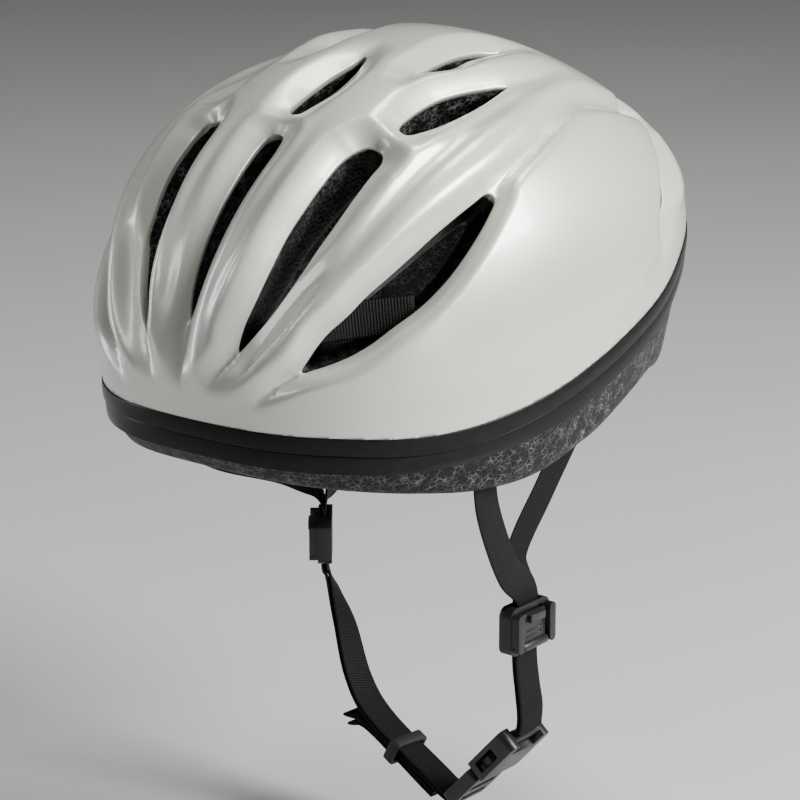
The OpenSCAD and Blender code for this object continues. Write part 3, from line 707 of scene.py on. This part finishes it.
def webbing_material():
    """Black woven webbing: crosswise ribs of two picks.
    The map's first coordinate runs along the strap, the second across it, in mm."""
    material, tree, shader, place = new_material("webbing_black")
    split = tree.nodes.new("ShaderNodeSeparateXYZ")
    tree.links.new(place.outputs["UV"], split.inputs["Vector"])

    def wave(source, count):
        times = tree.nodes.new("ShaderNodeMath")
        times.operation = "MULTIPLY"
        times.inputs[1].default_value = count
        tree.links.new(source, times.inputs[0])
        sine = tree.nodes.new("ShaderNodeMath")
        sine.operation = "SINE"
        tree.links.new(times.outputs[0], sine.inputs[0])
        return sine.outputs[0]

    ribs = wave(split.outputs["X"], 2 * math.pi * RIBS_PER_UNIT)
    yarns = wave(split.outputs["Y"], 2 * math.pi * YARNS_PER_UNIT)
    both = tree.nodes.new("ShaderNodeMath")
    both.operation = "MULTIPLY_ADD"
    both.inputs[1].default_value = 0.45
    tree.links.new(yarns, both.inputs[0])
    tree.links.new(ribs, both.inputs[2])
    height = tree.nodes.new("ShaderNodeMapRange")
    height.inputs["From Min"].default_value = -1.45
    height.inputs["From Max"].default_value = 1.45
    tree.links.new(both.outputs[0], height.inputs["Value"])
    # The colour follows the weave's height: darker in the grooves between the ribs and paler on
    # their crests, which is painted shade in the grooves.
    tone = ramp(tree, height.outputs["Result"], [(0.1, grey(0.002)), (0.55, grey(0.0035)),
                                                 (1.0, grey(0.007))])
    tree.links.new(tone, shader.inputs["Base Color"])
    fuzz = noise(tree, place, 900.0, 2.0)
    tree.links.new(spread(tree, fuzz, 0.55, 0.8), shader.inputs["Roughness"])
    shader.inputs["Specular IOR Level"].default_value = 0.2
    bump(tree, shader, height.outputs["Result"], 0.6, 0.0004)
    return material


def pad_material():
    """Brushed pad fabric: short nap, soft mottling and a faint knit."""
    material, tree, shader, place = new_material("pad_brushed_fabric")
    nap = noise(tree, place, 1400.0, 3.0)
    knit = node(tree, "ShaderNodeTexVoronoi", Scale=900.0)
    tree.links.new(place.outputs["Object"], knit.inputs["Vector"])
    tone = ramp(tree, nap, [(0.25, grey(0.008)), (0.6, grey(0.022)), (0.85, grey(0.05))])
    tree.links.new(tone, shader.inputs["Base Color"])
    tree.links.new(spread(tree, knit.outputs["Distance"], 0.75, 0.95), shader.inputs["Roughness"])
    shader.inputs["Sheen Weight"].default_value = 0.4
    shader.inputs["Sheen Roughness"].default_value = 0.4
    bump(tree, shader, nap, 0.5, 0.0004)
    return material


def hook_material():
    """Hook tape: rows of small stiff hooks."""
    material, tree, shader, place = new_material("hook_tape")
    hooks = node(tree, "ShaderNodeTexVoronoi", Scale=1100.0, Randomness=0.25)
    tree.links.new(place.outputs["Object"], hooks.inputs["Vector"])
    tone = ramp(tree, hooks.outputs["Distance"], [(0.1, grey(0.09)), (0.6, grey(0.012))])
    tree.links.new(tone, shader.inputs["Base Color"])
    tree.links.new(spread(tree, hooks.outputs["Distance"], 0.35, 0.7), shader.inputs["Roughness"])
    bump(tree, shader, hooks.outputs["Distance"], 0.9, 0.0006)
    return material


# ================================================================ camera and light
def add_camera():
    turn, rise = math.radians(VIEW_TURN), math.radians(VIEW_RISE)
    back = Vector((math.sin(turn) * math.cos(rise), -math.cos(turn) * math.cos(rise),
                   math.sin(rise)))
    right = Vector((math.cos(turn), math.sin(turn), 0))
    above = back.cross(right)
    target = (right * VIEW_CENTRE_MM[0] + above * VIEW_CENTRE_MM[1]) * MM
    data = bpy.data.cameras.new("view")
    data.sensor_width = SENSOR
    data.lens = SENSOR * VIEW_DISTANCE / VIEW_WIDTH
    data.clip_end = 20
    camera = bpy.data.objects.new("view", data)
    camera.location = target + back * VIEW_DISTANCE
    camera.rotation_euler = back.to_track_quat("Z", "Y").to_euler()
    bpy.context.scene.collection.objects.link(camera)
    bpy.context.scene.camera = camera


def add_area(name, place, size, power, tint):
    data = bpy.data.lights.new(name, "AREA")
    data.shape = "RECTANGLE"
    data.size = size[0]
    data.size_y = size[1]
    data.energy = power
    data.color = tint
    light = bpy.data.objects.new(name, data)
    light.location = place
    light.rotation_euler = (Vector(place) - Vector(LIGHT_AIM)).to_track_quat("Z", "Y").to_euler()
    bpy.context.scene.collection.objects.link(light)


def add_studio():
    floor_mesh = bpy.data.meshes.new("floor")
    half = FLOOR_SIZE / 2
    low = CAD_BOX[0][2] - FLOOR_GAP
    floor_mesh.from_pydata([(-half, -half, low), (half, -half, low), (half, half, low),
                            (-half, half, low)], [], [(0, 1, 2, 3)])
    floor = bpy.data.objects.new("floor", floor_mesh)
    bpy.context.scene.collection.objects.link(floor)
    material, tree, shader, place = new_material("floor_pale")
    tone = ramp(tree, noise(tree, place, 3.0), [(0.3, grey(0.6)), (0.7, grey(0.63))])
    tree.links.new(tone, shader.inputs["Base Color"])
    shader.inputs["Roughness"].default_value = 0.85
    floor_mesh.materials.append(material)
    world = bpy.data.worlds.new("studio")
    world.use_nodes = True
    world.node_tree.nodes["Background"].inputs["Color"].default_value = WORLD_TINT
    world.node_tree.nodes["Background"].inputs["Strength"].default_value = WORLD_STRENGTH
    bpy.context.scene.world = world
    for light in LIGHTS:
        add_area(*light)


# ================================================================ shell and foam
def to_points(flat, surface):
    az, up = from_plane(flat)
    return surface(az, up)


def crease_lines():
    """Where the troughs have no opening, their line is a sharp crease."""
    lines = []
    for stations in MIDDLE_VENTS + PAIRED_VENTS:
        rows = spline(stations, 14)
        bare = rows[:, 2] <= 0
        clear = [i for i in np.flatnonzero(bare) if rows[i, 1] > rim_level(rows[i, 0]) + 2]
        for part in np.split(clear, np.flatnonzero(np.diff(clear) > 1) + 1):
            if len(part) < 4:
                continue
            chosen = rows[part[1:-1:2]]
            signs = (1,) if stations in MIDDLE_VENTS else (1, -1)
            for sign in signs:
                lines.append(to_plane(sign * chosen[:, 0], chosen[:, 1]))
    return lines


def lip_frame(outline):
    """Points, outward normals and inward directions round an opening."""
    az, up = from_plane(outline)
    edge = skin(az, up)
    normal = skin_normal(az, up)
    along = unit(np.roll(edge, -1, 0) - np.roll(edge, 1, 0))
    return edge, normal, unit(np.cross(normal, along))


def lip_profile():
    """Steps inwards and along the normal, from the skin round the lip and under it."""
    turns = np.radians(LIP_TURNS)
    profile = [(LIP_R * math.sin(t), -LIP_R * (1 - math.cos(t))) for t in turns]
    return profile + [(LIP_R + 0.1, -LIP_DROP), (LIP_R - 0.5, -LIP_DROP - 0.3),
                      (-0.4, -LIP_DROP + 0.2)]


def build_shell(material, spacing):
    creases = [c for c in crease_lines() if not any(inside(c, o).any() for o in OUTLINES)]
    flat, triangles, order = mapped_surface(
        spacing, OUTLINES, lambda az: rim_level(az) - SHELL_TUCK, creases)
    surface = Surface(to_points(flat, skin), [tuple(t) for t in triangles])
    for loop in order[1:]:
        edge, normal, inward = lip_frame(flat[loop])
        previous = loop
        for step_in, step_out in lip_profile():
            previous = surface.add_row(edge + inward * step_in + normal * step_out, previous)
    rim = order[0]
    az, up = from_plane(flat[rim])
    row = surface.add_row(skin(az, up, -SHELL_T))
    surface.faces += [f[::-1] for f in ring_faces(rim, row)]
    piece = surface.make("shell_skin", material)
    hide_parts("outer_shell")
    return piece


def tidy_normals(piece):
    mesh = bmesh.new()
    mesh.from_mesh(piece.data)
    bmesh.ops.recalc_face_normals(mesh, faces=mesh.faces)
    mesh.to_mesh(piece.data)
    mesh.free()


def add_foam_wall(surface, outline, loop, bottom):
    """The wall of one opening, from under the shell's lip to the inner surface."""
    edge, normal, inward = lip_frame(outline)
    top = edge + inward * (LIP_R - FOAM_STEP_BACK) - normal * FOAM_TOP_DROP
    previous = None
    for k in range(WALL_STEPS):
        t = k / WALL_STEPS
        swell = WALL_SWELL * math.sin(math.pi * min(1.0, t * 1.1)) ** 2
        previous = surface.add_row(top * (1 - t) + bottom * t - inward * swell, previous)
    surface.faces += ring_faces(previous, loop)


def foam_band_profile(az):
    """Rows from under the tape, round the foam's lower edge and up the inside."""
    across, along = around(az)

    def foot(share, lift):
        return np.stack([HALF_WIDTH * share * across, HALF_LENGTH * share * along,
                         foot_z(az) + lift], -1)

    start = skin(az, rim_level(az) - 2 * TAPE_STEP + 0.7, -1.4)
    outer_corner = foot(FOOT_OUT + 0.012, 0)
    profile = np.stack([start, 0.45 * start + 0.55 * outer_corner, outer_corner,
                        foot(0.5 * (FOOT_OUT + FOOT_IN), -0.6), foot(FOOT_IN, 0),
                        foot(FOOT_IN, 7), cavity(az, np.full(len(az), CAVITY_LOW))])
    return chaikin(profile, 3)


def build_foam(material, spacing):
    """Inner surface, vent walls and lower band in one mesh."""
    holes = [inset(o, 0.9) for o in OUTLINES]
    flat, triangles, order = mapped_surface(
        spacing, holes, lambda az: np.full(np.shape(az), CAVITY_LOW))
    surface = Surface(to_points(flat, cavity), [tuple(t[::-1]) for t in triangles])
    for outline, loop in zip(OUTLINES, order[1:]):
        add_foam_wall(surface, outline, loop, to_points(flat[loop], cavity))
    az = from_plane(flat[order[0]])[0]
    profile = foam_band_profile(az)
    first = surface.add_row(profile[0])
    previous = first
    for row_points in profile[1:-1]:
        previous = surface.add_row(row_points, previous)
    surface.faces += ring_faces(previous, order[0])
    tuck = surface.add_row(skin(az, rim_level(az) + 1.5, -SHELL_T - 1))
    surface.faces += ring_faces(tuck, first)
    piece = surface.make("foam_liner_body", material)
    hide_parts("foam_liner")
    return piece


def build_tape(name, replaced, top, bottom, proud, material):
    """A rim strip with rounded edges, closed all the way round."""
    az = np.arange(360.0) - 180
    level = rim_level(az)

    def row(drop, out):
        return skin(az, level - drop, out)

    section = np.stack([row(top, -0.9), row(top, proud), row(top + TAPE_EDGE, proud + 0.1),
                        row((top + bottom) / 2, proud + 0.3),
                        row(bottom - TAPE_EDGE, proud + 0.1), row(bottom, proud),
                        row(bottom, -1.2)])
    rows = chaikin(section, 2)
    n = len(az)
    count = len(rows)
    faces = []
    for k in range(count - 1):
        faces += ring_faces(range(k * n, (k + 1) * n), range((k + 1) * n, (k + 2) * n))
    piece = mesh_object(name, rows.reshape(-1, 3), [f[::-1] for f in faces], [material])
    tidy_normals(piece)
    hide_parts(replaced)
    return piece


# ================================================================ webbing
RIBBON_STEPS = 10
EDGE_ROUND = [(0.5, 0.0), (0.47, 0.38), (0.42, 0.5), (0.0, 0.5), (-0.42, 0.5), (-0.47, 0.38),
              (-0.5, 0.0), (-0.47, -0.38), (-0.42, -0.5), (0.0, -0.5), (0.42, -0.5),
              (0.47, -0.38)]


def build_ribbon(name, route, lift, material, replaced=None):
    """Flat webbing along stations of point and outward direction."""
    centre = spline([r[0] for r in route], RIBBON_STEPS)
    facing = spline([r[1] for r in route], RIBBON_STEPS)
    along = unit(np.gradient(centre, axis=0))
    side = unit(np.cross(facing, along))
    out = unit(np.cross(along, side))
    section = np.array(EDGE_ROUND)
    rings = (centre[:, None] + side[:, None] * section[None, :, :1] * WEB_W
             + out[:, None] * (lift + section[None, :, 1:] * WEB_T))
    n, m = len(centre), len(section)
    faces = []
    for i in range(n - 1):
        faces += ring_faces(range(i * m, (i + 1) * m), range((i + 1) * m, (i + 2) * m))
    faces += [tuple(range(m)), tuple(range(n * m - 1, (n - 1) * m - 1, -1))]
    piece = mesh_object(name, rings.reshape(-1, 3), faces, [material])
    run = np.concatenate([[0], np.cumsum(np.linalg.norm(np.diff(centre, axis=0), axis=1))])
    layer = piece.data.uv_layers.new(name="map")
    for loop in piece.data.loops:
        i, j = divmod(loop.vertex_index, m)
        layer.data[loop.index].uv = (run[i] / UV_UNIT_MM, section[j][0] * WEB_W / UV_UNIT_MM)
    tidy_normals(piece)
    if replaced:
        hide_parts(replaced)
    return piece


def build_straps(material):
    left = [("left_front_strap", LEFT_FRONT, LAYER), ("left_rear_strap", LEFT_REAR, -LAYER)]
    for name, top, lift in left:
        piece = build_ribbon(name + "_web", top + LEFT_CHIN, lift, material, name)
        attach(piece, "helmet")
    right = [("right_front_strap", RIGHT_FRONT, LAYER),
             ("right_rear_strap", RIGHT_REAR, -LAYER)]
    for name, top, lift in right:
        piece = build_ribbon(name + "_web", top + RIGHT_CHIN, lift, material, name)
        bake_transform(piece)
    tails = [("strap_tail_outer", OUTER_TAIL_END, OUTER_TAIL_LIFT),
             ("strap_tail_inner", INNER_TAIL_END, INNER_TAIL_LIFT)]
    for name, end, lift in tails:
        piece = build_ribbon(name + "_web", TAIL + [end], lift, material, name)
        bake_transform(piece)
    for name, sign in (("vent_webbing_left", 1), ("vent_webbing_right", -1)):
        route = []
        for (az, up, off), out in zip(VENT_WEB_PLACES, VENT_WEB_OUT):
            point = skin(np.array([az]), np.array([up]), off)[0] * [sign, 1, 1]
            route.append((point, (out[0] * sign, out[1], out[2])))
        piece = build_ribbon(name + "_web", route, 0, material, name)
        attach(piece, "helmet")


# ================================================================ plastic pieces
BEVEL_ANGLE = math.radians(32)


def detailed(name, body, material, bevel):
    """The CAD piece's shape with softened edges."""
    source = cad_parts[name]
    mesh = bmesh.new()
    mesh.from_mesh(source.data)
    bmesh.ops.remove_doubles(mesh, verts=mesh.verts, dist=0.00001)
    bmesh.ops.dissolve_limit(mesh, angle_limit=math.radians(1), verts=mesh.verts,
                             edges=mesh.edges)
    data = bpy.data.meshes.new(name + "_look")
    mesh.to_mesh(data)
    mesh.free()
    piece = bpy.data.objects.new(name + "_look", data)
    bpy.context.scene.collection.objects.link(piece)
    modifier = piece.modifiers.new("bevel", "BEVEL")
    modifier.width = bevel * MM
    modifier.segments = 2
    modifier.limit_method = "ANGLE"
    modifier.angle_limit = BEVEL_ANGLE
    apply_modifiers(piece)
    piece.data.materials.clear()
    piece.data.materials.append(material)
    piece.data.shade_smooth()
    piece.data.set_sharp_from_angle(angle=math.radians(35))
    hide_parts(name)
    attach(piece, body)
    return piece


def apply_modifiers(piece):
    bpy.context.view_layer.update()
    graph = bpy.context.evaluated_depsgraph_get()
    made = bpy.data.meshes.new_from_object(piece.evaluated_get(graph))
    piece.modifiers.clear()
    piece.data = made


def build_hardware(plastic, lever, rubber, hook):
    pieces = [
        ("left_divider", "helmet", "black_plastic", plastic, 0.5),
        ("right_divider", "helmet", "black_plastic", plastic, 0.5),
        ("left_divider_lever", "left_lever", "lever_plastic", lever, 0.35),
        ("right_divider_lever", "right_lever", "lever_plastic", lever, 0.35),
        ("buckle_female", "helmet", "black_plastic", plastic, 0.5),
        ("buckle_male", "buckle_half", "black_plastic", plastic, 0.5),
        ("buckle_prong_front", "prong_front", "lever_plastic", lever, 0.3),
        ("buckle_prong_rear", "prong_rear", "lever_plastic", lever, 0.3),
        ("strap_keeper", "keeper", "keeper_rubber", rubber, 0.4),
        ("strap_anchors", "helmet", "lever_plastic", lever, 0.3),
        ("fit_yoke", "helmet", "black_plastic", plastic, 0.4),
        ("fit_cradle", "helmet", "black_plastic", plastic, 0.6),
        ("fit_cradle_pad", "helmet", "pad_fabric", rubber, 0.8),
        ("fit_band_left", "band_left", "black_plastic", plastic, 0.25),
        ("fit_band_right", "band_right", "black_plastic", plastic, 0.25),
        ("fit_pinion", "dial", "lever_plastic", lever, 0.1),
        ("fit_dial", "dial", "dial_rubber", rubber, 0.4),
        ("hook_dots", "helmet", "hook_tape", hook, 0.15),
    ]
    for name, body, slot, material, bevel in pieces:
        detailed(name, body, material, bevel)


# ================================================================ pads
def patch_points(az_from, az_to, up_from, up_to, gap, thick):
    """Two layers of a rounded patch on the foam's inner surface."""
    u = np.linspace(-1, 1, 25)
    grid_u, grid_v = np.meshgrid(u, np.linspace(-1, 1, 13))
    az = (az_from + az_to) / 2 + grid_u * (az_to - az_from) / 2
    pinch = np.sqrt(np.clip(1 - np.abs(grid_u) ** 5, 0, 1)) * 0.55 + 0.45
    up = (up_from + up_to) / 2 + grid_v * pinch * (up_to - up_from) / 2
    return cavity(az, up, gap), cavity(az, up, gap + thick)


def crown_patch(sign, gap, thick):
    grid_y, grid_x = np.meshgrid(np.linspace(-45, 38, 25), np.linspace(-1, 1, 9))
    pinch = np.sqrt(np.clip(1 - np.abs((grid_y + 3.5) / 41.6) ** 5, 0, 1)) * 0.5 + 0.5
    x = 18.5 + grid_x * 6.2 * pinch

    def layer(drop):
        a = HALF_WIDTH - LINER_SIDE - drop
        b = HALF_LENGTH - LINER_END - drop
        c = CROWN_RISE - LINER_TOP - drop
        z = WIDEST_Z + LEAN * grid_y + c * np.sqrt(1 - (x / a) ** 2 - (grid_y / b) ** 2)
        return np.stack([x * sign, grid_y, z], -1)

    return layer(gap), layer(gap + thick)


def closed_slab(name, low, high):
    rows, columns = low.shape[:2]
    points = np.vstack([low.reshape(-1, 3), high.reshape(-1, 3)])
    half = rows * columns

    def at(i, j, k):
        return k * half + i * columns + j

    faces = []
    for i in range(rows - 1):
        for j in range(columns - 1):
            faces.append((at(i, j, 0), at(i + 1, j, 0), at(i + 1, j + 1, 0), at(i, j + 1, 0)))
            faces.append((at(i, j, 1), at(i, j + 1, 1), at(i + 1, j + 1, 1), at(i + 1, j, 1)))
    border = ([(0, j) for j in range(columns)] + [(i, columns - 1) for i in range(1, rows)]
              + [(rows - 1, j) for j in range(columns - 2, -1, -1)]
              + [(i, 0) for i in range(rows - 2, 0, -1)])
    for (i, j), (k, m) in zip(border, border[1:] + border[:1]):
        faces.append((at(i, j, 0), at(k, m, 0), at(k, m, 1), at(i, j, 1)))
    piece = mesh_object(name, points, faces, [])
    tidy_normals(piece)
    return piece


def puff(piece):
    """Remesh, blow up as cloth, cap the movement and keep the result."""
    remesh = piece.modifiers.new("remesh", "REMESH")
    remesh.mode = "VOXEL"
    remesh.voxel_size = PAD_VOXEL
    apply_modifiers(piece)
    before = np.array([v.co for v in piece.data.vertices])
    cloth = piece.modifiers.new("cloth", "CLOTH")
    cloth.settings.use_pressure = True
    cloth.settings.uniform_pressure_force = PAD_PRESSURE
    cloth.settings.effector_weights.gravity = 0
    cloth.settings.quality = 5
    cloth.point_cache.frame_start = 1
    cloth.point_cache.frame_end = PAD_FRAMES
    for step in range(1, PAD_FRAMES + 1):
        bpy.context.scene.frame_set(step)
    apply_modifiers(piece)
    after = np.array([v.co for v in piece.data.vertices])
    move = after - before
    size = np.linalg.norm(move, axis=1, keepdims=True)
    after = before + move * np.minimum(1, PAD_CAP / np.maximum(size, 1e-9))
    piece.data.vertices.foreach_set("co", after.ravel())
    bpy.context.scene.frame_set(1)
    smooth = piece.modifiers.new("smooth", "SMOOTH")
    smooth.iterations = 3
    subdivide = piece.modifiers.new("subdivide", "SUBSURF")
    subdivide.levels = 1
    apply_modifiers(piece)


def build_pads(material):
    for name, (az_from, az_to, up_from, up_to) in PADS.items():
        low, high = patch_points(az_from, az_to, up_from, up_to, PAD_GAP + 0.5, PAD_T - 1.5)
        finish_pad(name, low, high, material)
    for name, sign in CROWN_PADS.items():
        low, high = crown_patch(sign, PAD_GAP + 0.5, PAD_T - 1.5)
        finish_pad(name, low, high, material)


def finish_pad(name, low, high, material):
    piece = closed_slab(name + "_cushion", low, high)
    puff(piece)
    piece.data.materials.clear()
    piece.data.materials.append(material)
    piece.data.shade_smooth()
    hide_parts(name)
    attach(piece, "helmet")


# ================================================================ the model
add_camera()
add_studio()
pearl_white = shell_material()
bead_foam = foam_material()
satin_tape = tape_material()
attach(build_shell(pearl_white, SHELL_GRID), "helmet")
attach(build_foam(bead_foam, FOAM_GRID), "helmet")
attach(build_tape("rim_tape_upper_strip", "rim_tape_upper", 0.2, TAPE_STEP - 0.2, 0.4,
                   satin_tape), "helmet")
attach(build_tape("rim_tape_lower_strip", "rim_tape_lower", TAPE_STEP, 2 * TAPE_STEP - 0.2,
                   -0.3, satin_tape), "helmet")
build_straps(webbing_material())
build_hardware(moulded_material("moulded_black", 0.009, 0.38, 1500.0),
               moulded_material("moulded_grey", 0.02, 0.38, 1700.0),
               moulded_material("soft_rubber", 0.009, 0.62, 900.0),
               hook_material())
build_pads(pad_material())
